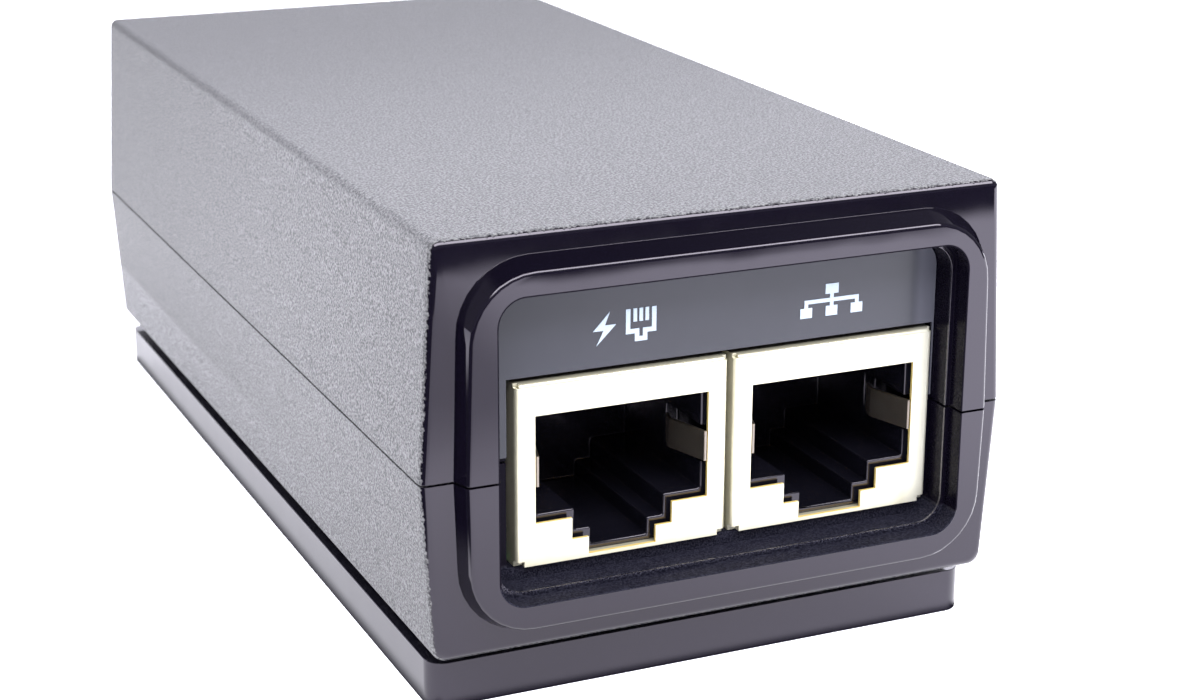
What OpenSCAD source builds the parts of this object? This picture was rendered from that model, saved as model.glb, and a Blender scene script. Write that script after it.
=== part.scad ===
// Passive power-over-Ethernet injector on a slide-off wall bracket.
// A two-shell plastic case holds two shielded modular jacks at the front, a three-pin mains
// inlet at the rear and a switching supply on one circuit board between them.
// Millimetres. The jacks face -Y, +Z is up, and the origin is the centre of the footprint.

/* [Case] */
// Width of the case at its parting line
body_w = 43.2; // [42.8:0.1:44]
// Length of the case between its flat end faces
body_l = 85; // [85:0.5:90]
// Height of the top face above the surface that the bracket rests on
top_z = 32.5; // [32:0.1:34]
// Height of the parting line between the two shells
part_z = 16.5; // [16.3:0.1:16.8]
// Height of the lower shell's underside
base_z = 4.1; // [4.1:0.05:4.2]
// Draft of the side walls, in degrees
draft = 3.4; // [3:0.1:3.8]
// Thickness of the shells' walls
wall = 1.8; // [1.6:0.1:1.9]
// Gap between the two shells at the parting line
seam = 0.14; // [0.1:0.02:0.2]

/* [End frames] */
// How far the raised frame stands proud of the end face
frame_out = 1.4; // [1:0.1:1.6]
// Width of the raised frame across its front face
frame_w = 38.5; // [38.2:0.1:38.6]
// Bottom of the raised frame's front face
frame_z0 = 5.95; // [5.8:0.05:6.1]
// Top of the raised frame's front face
frame_z1 = 30.3; // [30:0.1:30.5]
// Width of the opening inside the raised frame
mouth_w = 34.25; // [34.1:0.05:34.4]
// Sideways offset of that opening from the case's centre
mouth_shift = 0.4; // [0.3:0.05:0.45]
// Depth of the recess behind the flat end face
recess = 2; // [1.8:0.1:2.2]

/* [Jacks] */
// Width of one jack's shield
jack_w = 15.4; // [15.3:0.05:15.4]
// Height of one jack's shield
jack_h = 12.75; // [12.6:0.05:12.8]
// Distance between the two jacks' centres
jack_pitch = 15.87; // [15.8:0.01:15.9]
// Sideways offset of the pair of jacks from the case's centre
jack_shift = 1.22; // [1.1:0.02:1.22]
// Length of one jack's shield
jack_l = 18.2; // [18:0.1:18.4]

/* [Wall bracket] */
// Height of the bracket's rim
bracket_h = 3.2; // [3.15:0.05:3.4]
// Distance between the bracket's two wall screws
screw_pitch = 45; // [40:1:45]
// Radius of the bracket's wall screw holes
wall_hole_r = 2.25; // [2:0.05:2.5]
// How far the bracket slides before it comes free
slide_travel = 8; // [8:0.5:8.5]

/* [Hidden] */
$fn = 48;

// Colours
shell_black = "#333338";
gloss_black = "#1c1c20";
label_grey = "#55565f";
mark_white = "#d4dfee";
nickel = "#cfc8b4";
gold = "#c9a24a";
tin = "#b9bcc0";
steel = "#9a9da2";
aluminium = "#b4b8bd";
board_green = "#1f5a34";
copper = "#b0683a";
ferrite = "#3c3d42";
tape_yellow = "#d8b53a";
ceramic_blue = "#2c5fa8";
film_grey = "#8d9196";
sheet_white = "#e8e6da";
wire_brown = "#7a4526";
wire_blue = "#2d63b0";
wire_green = "#7fae3c";
sleeve_violet = "#2a2440";
sleeve_green = "#1d3a2a";
bobbin_black = "#23252b";
fuse_black = "#26262a";

front_y = -body_l / 2;
rear_y = body_l / 2;
end_wall = 3.4;
skin = 0.15;
top_r = 0.7;
base_r = 0.9;
end_r = 0.55;

// Shell details: screw bosses, tongue and rebate, ribs over the board and ledges under it
upper_boss_r = 2.8;
lower_boss_r = 3.3;
head_hole_r = 2.4;
shank_gap = 0.25;
thread_gap = 0.03;
tongue_w = 0.8;
tongue_up = 1.2;
tongue_down = 1.5;
tongue_end = 6;
clamp_y = [-6, 8];
clamp_t = 1.4;
shelf_y = [-34, -10, 4, 18];
shelf_l = 2.5;

// Larger than the part, for cutting a whole side away
beyond = 60;

// Raised frames: they narrow away from the parting line, and their sides slope to the foot
frame_shift = 0.3;
frame_lean = 1.7;
frame_r = 4.5;
frame_foot = 0.4;
frame_foot_top = 0.7;
frame_edge = 0.3;

// Opening inside a frame, and the smaller recess behind it
mouth_z = [frame_z0 + 1.8, frame_z1 - 1.7];
mouth_r = 1.9;
recess_lip = [0.35, 0.35];

// Jacks: the face stands a little proud of the label
face_y = front_y + recess - 0.3;
jack_z = 9.07;
jack_x = [jack_shift - jack_pitch / 2, jack_shift + jack_pitch / 2];
sheet = 0.25;
bend_r = 0.3;

// Board
board_t = 1.6;
board_top = jack_z;
board_under = board_top - board_t;
board_w = 37.2;
board_y0 = front_y + 3.6;
board_y1 = 22;
lead_end = board_under - 0.85;

// Case screws
case_screw_at = [[-15.6, -19], [15.6, -19], [-15.6, 36], [15.6, 36]];
head_seat_z = 9;
shank_r = 1.25;
shank_top = 21;

// Inlet
inlet_z = 17.5;
inlet_face_y = rear_y - recess + 0.3;
inlet_l = 14.8;
pin_r = 1.19;
lobe_r = 3.75;
wire_r = 0.9;
pin_at = [[-4.2, -2.2], [4.2, -2.2], [0, 3.2]];

// Bracket
bracket_w = 41.1;
bracket_y0 = front_y + 1.75;
bracket_y1 = rear_y - 1.25;
bracket_r = 1.35;
rim = 1.4;
plate = 1.2;
hook_y = [-32, 22];
hook_l = 7;
hook_x = [15, 16.6];
hook_foot_x = 18.7;
hook_z = [1.5, 2.3];
ledge_x = 16.9;
ledge_l = 8;
ledge_z = 2.5;
pad_r = 5.5;
pad_z = 2.4;
wall_head_r = 4.4;
wall_screw_y = [-32, -32 + screw_pitch];

// Latch: a sprung arm in the bracket whose bump rides in a ramped pocket under the case
latch_y = 20;
bump_y = 35;
latch_w = 9;
root_z = 2.2;
root_r = 0.8;
root_gap = 0.05;
latch_gap = 0.3;
arm_z0 = 1.6;
arm_z1 = 2.8;
bump_top = 4.9;
ramp_angle = 10;

function half_width(z) = body_w / 2 - abs(z - part_z) * tan(draft);

function arc(x, z, r, from, to, steps = 8) = [
    for (i = [0:steps])
        let (a = from + (to - from) * i / steps)
            [x + r * cos(a), z + r * sin(a)]
];

function rounded(x0, x1, z0, z1, r, steps = 8) = concat(
    arc(x1 - r, z1 - r, r, 0, 90, steps),
    arc(x0 + r, z1 - r, r, 90, 180, steps),
    arc(x0 + r, z0 + r, r, 180, 270, steps),
    arc(x1 - r, z0 + r, r, 270, 360, steps)
);

// Limits on X of something on the right, or of its mirror image on the left
function on_side(side, near, away) = side > 0 ? [near, away] : [-away, -near];

function mirrored(half) = concat(half, [for (i = [len(half) - 1:-1:0]) [-half[i][0], half[i][1]]]);

// The T-shaped mouth of a jack: plug body, latch shoulders and latch slot
function jack_mouth(body, top, shoulder, key, step, slot, bottom) = mirrored([
    [slot / 2, bottom], [slot / 2, step], [key / 2, step], [key / 2, shoulder],
    [body / 2, shoulder], [body / 2, top]
]);

// A box from its low and high limits on each axis
module span(x, y, z) {
    translate([x[0], y[0], z[0]]) cube([x[1] - x[0], y[1] - y[0], z[1] - z[0]]);
}

// An outline in X and Z, drawn out along Y
module prism_y(points, y0, y1) {
    translate([0, y1, 0]) rotate([90, 0, 0]) linear_extrude(y1 - y0) polygon(points);
}

// An outline in X and Y, drawn out along Z
module slab(points, z0, z1) {
    translate([0, 0, z0]) linear_extrude(z1 - z0) polygon(points);
}

module post(x, y, r, z0, z1) {
    translate([x, y, z0]) cylinder(r = r, h = z1 - z0);
}

module rod_y(x, z, r, y0, y1) {
    translate([x, y1, z]) rotate([90, 0, 0]) cylinder(r = r, h = y1 - y0);
}

module rod_x(x0, x1, y, z, r) {
    translate([x0, y, z]) rotate([0, 90, 0]) cylinder(r = r, h = x1 - x0);
}

// Features drawn at the front end, or turned over to the rear end
module at_end(end) {
    if (end < 0) children();
    else mirror([0, 1, 0]) children();
}

module at_jack(i) {
    translate([jack_x[i], face_y, jack_z]) children();
}

// ---------------------------------------------------------------- case

// The right half of each shell's outline, drawn in from the outside by an inset
function upper_half(inset) = concat(
    [[half_width(part_z + seam / 2) - inset, part_z + seam / 2]],
    arc(half_width(top_z - top_r) - top_r, top_z - top_r, top_r - inset, 0, 90, 6)
);

function lower_half(inset) = concat(
    arc(half_width(base_z) - base_r - inset, base_z + base_r + inset, base_r, 270, 360),
    [[half_width(part_z - seam / 2) - inset, part_z - seam / 2]]
);

upper_cavity = mirrored([
    [half_width(part_z) - wall, part_z - 1],
    [half_width(top_z) - wall, top_z - wall]
]);

lower_cavity = mirrored([
    [half_width(base_z) - wall, base_z + wall],
    [half_width(part_z) - wall, part_z + 1]
]);

// A shell's solid block, with the edges of both end faces rounded
module shell_block(is_upper) {
    hull() for (a = [0:22.5:90]) {
        inset = end_r * (1 - sin(a));
        in_y = end_r * (1 - cos(a));
        half = is_upper ? upper_half(inset) : lower_half(inset);
        prism_y(mirrored(half), front_y + in_y, rear_y - in_y);
    }
}

// The raised frame, its sides sloping in to the front face and its front edge rounded
module end_frame() {
    hull() {
        prism_y(frame_outline(frame_foot, frame_foot_top), front_y - 0.05, front_y + 1);
        for (a = [0:22.5:90]) {
            inset = -frame_edge * (1 - cos(a));
            depth = front_y - frame_out + frame_edge * (1 - sin(a));
            prism_y(frame_outline(inset, inset), depth, depth + 0.01);
        }
    }
}

// Half the frame's width at a height, before it is grown
function frame_half(z) = frame_w / 2 - abs(z - part_z) * tan(frame_lean);

function frame_outline(grow, grow_top) =
    let (
        r = frame_r + grow,
        low = frame_z0 - grow,
        high = frame_z1 + grow_top,
        x_low = frame_half(low + r) + grow - r,
        x_high = frame_half(high - r) + grow - r,
        x_part = frame_w / 2 + grow
    )
    [for (p = concat(
        arc(x_high, high - r, r, 0, 90),
        arc(-x_high, high - r, r, 90, 180),
        [[-x_part, part_z]],
        arc(-x_low, low + r, r, 180, 270),
        arc(x_low, low + r, r, 270, 360),
        [[x_part, part_z]]
    )) [frame_shift + p[0], p[1]]];

// The stepped opening inside the raised frame
module end_mouth() {
    prism_y(mouth_outline([0, 0]), front_y - frame_out - 1, front_y + 0.1);
    prism_y(mouth_outline(recess_lip), front_y - 1, front_y + recess + skin);
}

// The opening's outline, drawn in by an inset at each side and one at top and bottom
function mouth_outline(inset) = rounded(
    mouth_shift - mouth_w / 2 + inset[0], mouth_shift + mouth_w / 2 - inset[0],
    mouth_z[0] + inset[1], mouth_z[1] - inset[1], mouth_r
);

module jack_cutout() {
    span(
        [jack_x[0] - jack_w / 2 - 0.5, jack_x[1] + jack_w / 2 + 0.15],
        [front_y + recess - 1, front_y + end_wall + 1],
        [jack_z - 0.05, jack_z + jack_h + 0.35]
    );
}

function inlet_outline(grow) = rounded(
    -10 - grow, 10 + grow, inlet_z - 7.8 - grow, inlet_z + 7.8 + grow, 2 + grow
);

module inlet_cutout() {
    prism_y(inlet_outline(0.1), rear_y - end_wall - 1, rear_y + 1);
}

module both_ends_open() {
    for (end = [-1, 1]) at_end(end) end_mouth();
    jack_cutout();
    inlet_cutout();
}

// The tongue on the lower shell's long walls, and with a clearance the rebate it fits
module tongues(clearance) {
    inner_x = half_width(part_z) - wall;
    for (side = [-1, 1]) span(
        on_side(side, inner_x - clearance, inner_x + tongue_w + clearance),
        [front_y + tongue_end - clearance, rear_y - tongue_end + clearance],
        [part_z - tongue_down, part_z + tongue_up + clearance]
    );
}

module upper_shell() {
    color(shell_black) difference() {
        union() {
            difference() {
                shell_block(true);
                prism_y(upper_cavity, front_y + end_wall, rear_y - end_wall);
                tongues(0.08);
            }
            for (end = [-1, 1]) intersection() {
                at_end(end) end_frame();
                span([-beyond, beyond], [-beyond, beyond], [part_z + seam / 2, beyond]);
            }
            for (p = case_screw_at)
                post(p[0], p[1], upper_boss_r, part_z + seam / 2, top_z - wall + 0.1);
            board_clamps();
        }
        both_ends_open();
        for (p = case_screw_at)
            post(p[0], p[1], shank_r + thread_gap, part_z - 1, shank_top + 1);
    }
}

// Ribs that hold the board down when the case is closed
module board_clamps() {
    for (side = [-1, 1], y = clamp_y) {
        span(on_side(side, 17.4, 18.9), [y, y + clamp_t], [board_top + 0.08, part_z + 3]);
        span(on_side(side, 17.4, 20.2), [y, y + clamp_t], [part_z + 1.5, part_z + 3]);
    }
}

module lower_shell() {
    color(shell_black) difference() {
        union() {
            difference() {
                shell_block(false);
                prism_y(lower_cavity, front_y + end_wall, rear_y - end_wall);
            }
            for (end = [-1, 1]) intersection() {
                at_end(end) end_frame();
                span([-beyond, beyond], [-beyond, beyond], [0, part_z - seam / 2]);
            }
            tongues(0);
            for (p = case_screw_at)
                post(p[0], p[1], lower_boss_r, base_z + 0.5, part_z - seam / 2);
            board_shelves();
            span([-4, 4], [24.2, 38.2], [base_z + 1, base_z + wall + 0.7]);
            bracket_hooks();
        }
        both_ends_open();
        for (p = case_screw_at) {
            post(p[0], p[1], head_hole_r, base_z - 1, head_seat_z);
            post(p[0], p[1], shank_r + shank_gap, head_seat_z - 0.5, part_z + 1);
        }
        latch_pocket();
    }
}

// Ledges under the board's long edges
module board_shelves() {
    for (side = [-1, 1], y = shelf_y)
        span(on_side(side, 17.8, 19.6), [y, y + shelf_l], [base_z + 1, board_under - 0.02]);
}

// L-shaped hooks under the case that the bracket's ledges slide over
module bracket_hooks() {
    for (side = [-1, 1], y = hook_y) {
        along = [y - hook_l / 2, y + hook_l / 2];
        span(on_side(side, hook_x[0], hook_x[1]), along, [hook_z[0], base_z + 0.2]);
        span(on_side(side, hook_x[0], hook_foot_x), along, hook_z);
    }
}

// The pocket's ceiling is a ramp that presses the latch down as the bracket slides
module latch_pocket() {
    y1 = bump_y + 1;
    y0 = y1 - slide_travel - 2;
    deep = bump_top + 0.1;
    translate([2.6, 0, 0]) rotate([0, -90, 0]) linear_extrude(5.2) polygon([
        [base_z - 1, y0], [base_z - 1, y1], [deep, y1], [deep, y1 - 2], [base_z + 0.1, y0]
    ]);
}

module case_screws() {
    color(steel) for (p = case_screw_at) translate([p[0], p[1], 0]) difference() {
        union() {
            translate([0, 0, head_seat_z - 0.6]) cylinder(r = 2.2, h = 0.6);
            translate([0, 0, head_seat_z - 1.6]) cylinder(r1 = 1.6, r2 = 2.2, h = 1);
            post(0, 0, shank_r, head_seat_z - 0.1, shank_top);
            translate([0, 0, shank_top]) cylinder(r1 = shank_r, r2 = 0.3, h = 0.9);
        }
        for (turn = [0, 90]) rotate([0, 0, turn])
            span([-1.2, 1.2], [-0.25, 0.25], [head_seat_z - 2, head_seat_z - 0.9]);
    }
}

// Printed overlay above and beside the jacks
module port_label() {
    color(label_grey) difference() {
        prism_y(mouth_outline(recess_lip + [0.05, 0.05]), front_y + recess, front_y + recess + skin);
        jack_cutout();
        span([-beyond, beyond], [-beyond, 0], [0, part_z + 0.35]);
    }
}

// Pictograms in place of lettering: a bolt beside a plug over one jack, linked nodes over the other
module port_marks() {
    ink = 0.04;
    y1 = front_y + recess;
    color(mark_white) {
        for (outline = concat(power_mark(jack_x[0] + 0.15), network_mark(jack_x[1] - 0.25)))
            prism_y(outline, y1 - ink, y1);
    }
}

mark_z = 23.65;
mark_h = 2.25;

function box_points(x0, x1, z0, z1) = [[x0, z0], [x1, z0], [x1, z1], [x0, z1]];

function power_mark(x) = [
    [
        [x - 1.05, mark_z + mark_h], [x - 2.25, mark_z + 1.0], [x - 1.5, mark_z + 1.0],
        [x - 2.0, mark_z], [x - 0.6, mark_z + 1.35], [x - 1.4, mark_z + 1.35]
    ],
    [
        [x + 0.1, mark_z + 0.55], [x + 0.75, mark_z + 0.55], [x + 0.75, mark_z],
        [x + 1.65, mark_z], [x + 1.65, mark_z + 0.55], [x + 2.3, mark_z + 0.55],
        [x + 2.3, mark_z + mark_h], [x + 1.98, mark_z + mark_h], [x + 1.98, mark_z + 0.87],
        [x + 1.33, mark_z + 0.87], [x + 1.33, mark_z + 0.32], [x + 1.07, mark_z + 0.32],
        [x + 1.07, mark_z + 0.87], [x + 0.42, mark_z + 0.87], [x + 0.42, mark_z + mark_h],
        [x + 0.1, mark_z + mark_h]
    ],
    box_points(x + 0.64, x + 0.9, mark_z + 1.35, mark_z + mark_h),
    box_points(x + 1.07, x + 1.33, mark_z + 1.35, mark_z + mark_h),
    box_points(x + 1.5, x + 1.76, mark_z + 1.35, mark_z + mark_h)
];

function network_mark(x) = [
    [
        [x - 0.5, mark_z + 1.55], [x - 0.14, mark_z + 1.55], [x - 0.14, mark_z + 1.25],
        [x - 2.1, mark_z + 1.25], [x - 2.1, mark_z + 0.7], [x - 2.4, mark_z + 0.7],
        [x - 2.4, mark_z], [x - 1.5, mark_z], [x - 1.5, mark_z + 0.7],
        [x - 1.82, mark_z + 0.7], [x - 1.82, mark_z + 0.97], [x - 0.14, mark_z + 0.97],
        [x - 0.14, mark_z + 0.7], [x - 0.45, mark_z + 0.7], [x - 0.45, mark_z],
        [x + 0.45, mark_z], [x + 0.45, mark_z + 0.7], [x + 0.14, mark_z + 0.7],
        [x + 0.14, mark_z + 0.97], [x + 1.82, mark_z + 0.97], [x + 1.82, mark_z + 0.7],
        [x + 1.5, mark_z + 0.7], [x + 1.5, mark_z], [x + 2.4, mark_z],
        [x + 2.4, mark_z + 0.7], [x + 2.1, mark_z + 0.7], [x + 2.1, mark_z + 1.25],
        [x + 0.14, mark_z + 1.25], [x + 0.14, mark_z + 1.55], [x + 0.5, mark_z + 1.55],
        [x + 0.5, mark_z + mark_h], [x - 0.5, mark_z + mark_h]
    ]
];

// ---------------------------------------------------------------- wall bracket

module wall_bracket() {
    outer_x = bracket_w / 2;
    inner_x = outer_x - rim;
    slot_x = latch_w / 2 + latch_gap;
    color(shell_black) difference() {
        union() {
            difference() {
                slab(rounded(-outer_x, outer_x, bracket_y0, bracket_y1, bracket_r), 0, bracket_h);
                span([-inner_x, inner_x], [bracket_y0 + rim, bracket_y1 - rim], [plate, bracket_h + 1]);
            }
            for (y = wall_screw_y) post(0, y, pad_r, 0, pad_z);
            for (side = [-1, 1], y = hook_y) span(
                on_side(side, ledge_x, inner_x + 0.5),
                [y - ledge_l / 2, y + ledge_l / 2],
                [ledge_z, bracket_h - 0.1]
            );
            span([-latch_w / 2 - 1.5, latch_w / 2 + 1.5], [latch_y - 3.2, latch_y], [0, 3]);
        }
        for (y = wall_screw_y) {
            post(0, y, wall_hole_r, -1, 3);
            post(0, y, wall_head_r, plate, 3);
        }
        rod_x(-slot_x, slot_x, latch_y, root_z, root_r + root_gap);
        span([-slot_x, slot_x], [latch_y, bracket_y1 + 1], [-1, bracket_h + 1]);
    }
}

module bracket_latch() {
    half = latch_w / 2;
    color(shell_black) {
        difference() {
            union() {
                rod_x(-half, half, latch_y, root_z, root_r);
                span([-half, half], [latch_y, bracket_y1 - 0.2], [arm_z0, arm_z1]);
                span([-half, half], [bracket_y1 - rim, bracket_y1], [arm_z0, bracket_h]);
                slab(rounded(-2.2, 2.2, bump_y - 1, bump_y + 0.7, 0.4), arm_z1 - 0.2, bump_top);
                for (x = [-2.4:1.6:2.4]) span(
                    [x - 0.3, x + 0.3],
                    [bracket_y1 - 0.2, bracket_y1 + 0.35],
                    [arm_z0 + 0.3, bracket_h - 0.3]
                );
            }
            // The bump's leading edge is sloped to match the pocket's ramp
            translate([0, bump_y - 1, bump_top - 0.1]) rotate([ramp_angle, 0, 0])
                span([-3, 3], [-3, 0.4], [0, 2]);
        }
    }
}

// ---------------------------------------------------------------- jacks

// Plan outline of the shield, drawn in by an amount, with its front corners bent round
function shield_plan(grow) = concat(
    [[jack_w / 2 - grow, jack_l - grow], [-jack_w / 2 + grow, jack_l - grow]],
    arc(-jack_w / 2 + bend_r, bend_r, bend_r - grow, 180, 270, 6),
    arc(jack_w / 2 - bend_r, bend_r, bend_r - grow, 270, 360, 6)
);

// Side outline of the shield, Y then Z, with its top front edge bent round
function shield_side(grow) = concat(
    [[jack_l - grow, grow], [jack_l - grow, jack_h - grow]],
    arc(bend_r, jack_h - bend_r, bend_r - grow, 90, 180, 6),
    [[grow, grow]]
);

module shield_box(grow) {
    intersection() {
        slab(shield_plan(grow), grow, jack_h - grow);
        translate([-jack_w / 2 + grow, 0, 0]) rotate([90, 0, 90])
            linear_extrude(jack_w - 2 * grow) polygon(shield_side(grow));
    }
}

mouth_w_main = 12.57;
mouth_top = 10.46;
finger_z = [5.55, 7.65];

module jack_shield(i) {
    leg_y = [6, 7.2];
    color(nickel) at_jack(i) {
        difference() {
            shield_box(0);
            shield_box(sheet);
            prism_y(jack_mouth(mouth_w_main, mouth_top, 2.97, 7.32, 1.46, 4.92, sheet), -1, sheet + 0.3);
            // Reliefs where the folded sides meet at the corners
            for (side = [-1, 1]) {
                x = side * jack_w / 2;
                span([x - 0.3, x + 0.3], [-0.1, 0.4], [jack_h - 0.25, jack_h + 0.1]);
                span([x - 0.6, x + 0.6], [-0.1, 0.5], [-0.1, 0.4]);
            }
            // The underside is open behind the front fold
            span([-jack_w / 2 + sheet, jack_w / 2 - sheet], [4, jack_l - sheet], [-1, sheet + 0.1]);
        }
        for (side = [-1, 1])
            span(on_side(side, jack_w / 2 - sheet, jack_w / 2), leg_y, [lead_end - jack_z, 0.5]);
    }
}

housing_w = 14.8;
housing_y = 0.6;
trough_x = 4;
peg_x = 5.7;
peg_y = 9;
peg_r = 1.6;

module jack_housing(i) {
    color(gloss_black) at_jack(i) difference() {
        union() {
            intersection() {
                shield_box(sheet + 0.03);
                span([-housing_w / 2, housing_w / 2], [housing_y, 17.6], [0.3, 12.4]);
            }
            for (side = [-1, 1]) post(side * peg_x, peg_y, peg_r, board_under - jack_z + 0.2, 1);
        }
        prism_y(jack_mouth(12, 10.4, 3.4, 6.5, 1.9, 4.1, 0.7), -1, 12.6);
        span([-trough_x, trough_x], [2.2, 17.7], [10, 11.8]);
        span([-5.5, 5.5], [12.9, 17.7], [-0.5, 12]);
        // Slots that the side fingers spring into
        for (side = [-1, 1])
            span(on_side(side, 5.4, 6.95), [-0.5, 6], [finger_z[0] - 0.2, finger_z[1] + 0.2]);
    }
}

contact_pitch = 1.02;
contact_w = 0.35;
contact_n = 8;
spring_y = 2.9;
spring_z = 11.03;
spring_l = 8.8;
spring_rest = 21;
tail_z = [11.25, 11.55];

function contact_x(k) = (k - (contact_n - 1) / 2) * contact_pitch;

module contact_springs(i) {
    color(gold) at_jack(i) for (k = [0:contact_n - 1]) translate([contact_x(k), spring_y, spring_z]) {
        rod_x(-contact_w / 2, contact_w / 2, 0, 0, 0.18);
        rotate([-spring_rest, 0, 0]) {
            span([-contact_w / 2, contact_w / 2], [0, spring_l], [-0.15, 0.15]);
            rod_x(-contact_w / 2, contact_w / 2, spring_l, 0, 0.15);
        }
    }
}

function tail_y(k) = k % 2 == 0 ? 14.4 : 16.9;

module contact_tails(i) {
    color(gold) at_jack(i) for (k = [0:contact_n - 1]) translate([contact_x(k), 0, 0]) {
        span([-contact_w / 2, contact_w / 2], [2.75, tail_y(k) + 0.15], tail_z);
        span([-contact_w / 2, contact_w / 2], [tail_y(k) - 0.15, tail_y(k) + 0.15],
             [lead_end - jack_z, tail_z[1] - 0.05]);
    }
}

module contact_carrier(i) {
    color(gloss_black) at_jack(i) difference() {
        span([-5.4, 5.4], [13, 17.5], [0.3, 11.2]);
        for (k = [0:contact_n - 1])
            span([contact_x(k) - contact_w / 2 - 0.03, contact_x(k) + contact_w / 2 + 0.03],
                 [tail_y(k) - 0.18, tail_y(k) + 0.18], [-1, 12]);
    }
}

// Earthing finger folded in from the edge of the shield's mouth; side is 1 for the +X one
finger_x = 6.12;
finger_tip = 5.2;
finger_t = 0.2;

module finger(i, side) {
    color(nickel) at_jack(i) {
        post(side * finger_x, 0.13, 0.125, finger_z[0], finger_z[1]);
        slab(finger_outline(side), finger_z[0], finger_z[1]);
    }
}

function finger_outline(side) = [
    for (p = [
        [finger_x - 0.12, 0.13], [finger_tip - finger_t, 3.4], [finger_tip - finger_t, 3.6],
        [finger_tip + 0.1, 4.5], [finger_tip + 0.3, 4.45], [finger_tip, 3.55],
        [finger_tip, 3.4], [finger_x + 0.08, 0.13]
    ]) [side * p[0], p[1]]
];

// ---------------------------------------------------------------- board

// Every through-hole lead on the board, as X, Y and lead radius
transformer_at = [0, -2.6];
bulk_at = [-12, 9.6];
output_cap_at = [[-5.6, -16.4], [4.2, -16.4]];
inductor_at = [-12.6, -11.5];
opto_at = [-13, -3.4];
y_cap_at = [-11.2, 1.9];
controller_at = [13.5, 3];
bridge_at = [-2.3, 8.4];
choke_at = [6.5, 12.6];
varistor_at = [-2.6, 14.8];
x_cap_at = [13.9, 14.8];
fuse_at = [-13.6, 18.9];
diode_at = [13.1, -9];
wire_at = [[-4.2, 20.1], [4.2, 20.1], [0, 18.3]];

function offsets(at, list, r) = [for (p = list) [at[0] + p[0], at[1] + p[1], r]];

transformer_leads = offsets(transformer_at, [for (y = [-6, 6], k = [-2:2]) [k * 2.5, y]], 0.35);
bulk_leads = offsets(bulk_at, [[-2.5, 0], [2.5, 0]], 0.35);
output_leads = [for (c = output_cap_at, s = [-1.75, 1.75]) [c[0] + s, c[1], 0.3]];
inductor_leads = offsets(inductor_at, [[0, -2.5], [0, 2.5]], 0.35);
opto_leads = offsets(opto_at, [for (x = [-3.8, 3.8], y = [-1.27, 1.27]) [x, y]], 0.3);
y_cap_leads = offsets(y_cap_at, [[-3.75, 0], [3.75, 0]], 0.3);
controller_leads = offsets(controller_at, [for (x = [-3.8, 3.8], k = [-1.5:1:1.5]) [x, k * 2.54]], 0.3);
bridge_leads = offsets(bridge_at, [for (x = [-2.55, 2.55], y = [-3.6, 3.6]) [x, y]], 0.3);
choke_leads = offsets(choke_at, [for (x = [-3.2, 3.2], y = [-2.2, 2.2]) [x, y]], 0.35);
varistor_leads = offsets(varistor_at, [[-2.5, 0.4], [2.5, -0.4]], 0.3);
x_cap_leads = offsets(x_cap_at, [[0, -5], [0, 5]], 0.35);
fuse_leads = offsets(fuse_at, [[-2.5, 0], [2.5, 0]], 0.3);
diode_leads = offsets(diode_at, [[0, -2.54], [0, 0], [0, 2.54]], 0.38);
wire_leads = [for (p = wire_at) [p[0], p[1], 0.4]];
jack_leads = [
    for (i = [0, 1], k = [0:contact_n - 1]) [jack_x[i] + contact_x(k), face_y + tail_y(k), 0.25]
];
jack_pegs = [for (i = [0, 1], s = [-1, 1]) [jack_x[i] + s * peg_x, face_y + peg_y, peg_r]];

module leads(list, top = board_top) {
    for (p = list) post(p[0], p[1], p[2], lead_end, top);
}

module circuit_board() {
    all_leads = concat(
        transformer_leads, bulk_leads, output_leads, inductor_leads, opto_leads, y_cap_leads,
        controller_leads, bridge_leads, choke_leads, varistor_leads, x_cap_leads, fuse_leads,
        diode_leads, wire_leads, jack_leads, jack_pegs
    );
    color(board_green) difference() {
        slab(rounded(-board_w / 2, board_w / 2, board_y0, board_y1, 1), board_under, board_top);
        for (p = all_leads) post(p[0], p[1], p[2] + 0.1, board_under - 1, board_top + 1);
        for (p = case_screw_at) post(p[0], p[1], 3.5, board_under - 1, board_top + 1);
        for (i = [0, 1], side = [-1, 1]) {
            x = jack_x[i] + side * (jack_w / 2 - sheet / 2);
            span([x - 0.3, x + 0.3], [face_y + 5.8, face_y + 7.4], [board_under - 1, board_top + 1]);
        }
    }
}

module insulation_sheet() {
    color(sheet_white) difference() {
        span(
            [-16.8, 16.8],
            [board_y0 + 0.3, board_y1 + 1.2],
            [base_z + wall + 0.05, base_z + wall + 0.35]
        );
        for (p = case_screw_at) post(p[0], p[1], 3.6, base_z, board_top);
    }
}

// ---------------------------------------------------------------- mains inlet

// Clover-leaf recess: a lobe round each pin, joined by a block
module clover(r, y0, y1) {
    for (p = pin_at) rod_y(p[0], inlet_z + p[1], r, y0, y1);
    prism_y([
        [-4.2, inlet_z - 2.2 - r], [4.2, inlet_z - 2.2 - r], [4.2, inlet_z + 1],
        [r - 0.6, inlet_z + 3.2], [-r + 0.6, inlet_z + 3.2], [-4.2, inlet_z + 1]
    ], y0, y1);
}

module inlet_body() {
    body_y0 = inlet_face_y - inlet_l;
    color(gloss_black) difference() {
        union() {
            prism_y(inlet_outline(0), body_y0, inlet_face_y);
            prism_y(inlet_outline(1.3), rear_y - end_wall - 1.9, rear_y - end_wall - 0.05);
        }
        clover(lobe_r, inlet_face_y - 11, inlet_face_y + 1);
        for (p = pin_at) rod_y(p[0], inlet_z + p[1], pin_r + 0.03, body_y0 - 1, inlet_face_y - 10);
    }
}

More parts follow.
